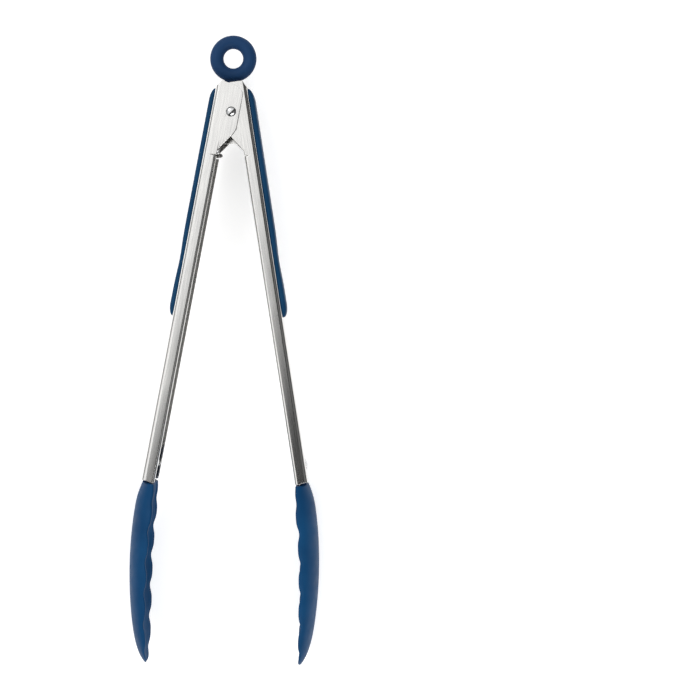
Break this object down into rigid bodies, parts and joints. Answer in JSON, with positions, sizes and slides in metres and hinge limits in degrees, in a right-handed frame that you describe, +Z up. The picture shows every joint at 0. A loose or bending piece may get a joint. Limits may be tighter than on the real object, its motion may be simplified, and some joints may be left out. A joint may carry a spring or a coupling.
{
  "type": "kitchen tongs",
  "caption": "Spring-loaded kitchen tongs: folded steel arms on a rivet, soft grips, pull ring that slides a lock strip, and scooped silicone-covered heads with scalloped edges.",
  "frame": {"origin": "under the middle of the whole object's box, on the surface that it lies on", "axes": "+Y along the tongs towards the pull ring, +X to the right, +Z up along the pivot rivet"},
  "size_m": [0.0924, 0.3062, 0.036],
  "materials": {
    "steel": "brushed along the arms",
    "polished_steel": "polished",
    "spring_steel": "drawn wire",
    "washer_plastic": "smooth",
    "nylon": "fine moulded grain",
    "silicone": "satin silicone",
    "soft_grip": "matt soft-touch"
  },
  "bodies": {
    "pivot": {"pivot_rivet": "polished_steel", "spacer_sleeve": "steel", "front_washer": "washer_plastic", "back_washer": "washer_plastic", "torsion_spring": "spring_steel"},
    "left_arm": {"left_arm": "steel", "left_grip_carrier": "nylon", "left_grip": "soft_grip", "left_head_core": "nylon", "left_head_cover": "silicone", "left_head_rivets": "polished_steel"},
    "right_arm": {"right_arm": "steel", "right_grip_carrier": "nylon", "right_grip": "soft_grip", "right_head_core": "nylon", "right_head_cover": "silicone", "right_head_rivets": "polished_steel"},
    "lock": {"lock_strip": "steel", "ring_core": "nylon", "pull_ring": "soft_grip", "ring_pin": "polished_steel"}
  },
  "joints": [
    {"name": "left_arm_swing", "type": "hinge", "parent": "pivot", "child": "left_arm", "pos_m": [0, 0.11457, 0.018], "axis": [0, 0, 1], "range_deg": [0, 7.6], "stiffness_Nm_per_rad": 1, "springref_deg": -28.65, "deforming": ["torsion_spring"]},
    {"name": "right_arm_swing", "type": "hinge", "parent": "pivot", "child": "right_arm", "pos_m": [0, 0.11457, 0.018], "axis": [0, 0, 1], "range_deg": [-7.6, 0]},
    {"name": "ring_slide", "type": "slide", "parent": "pivot", "child": "lock", "axis": [0, 1, 0], "range_m": [0, 0.008]}
  ],
  "couplings": [
    {"joint": "right_arm_swing", "follows": "left_arm_swing", "ratio": -1}
  ]
}
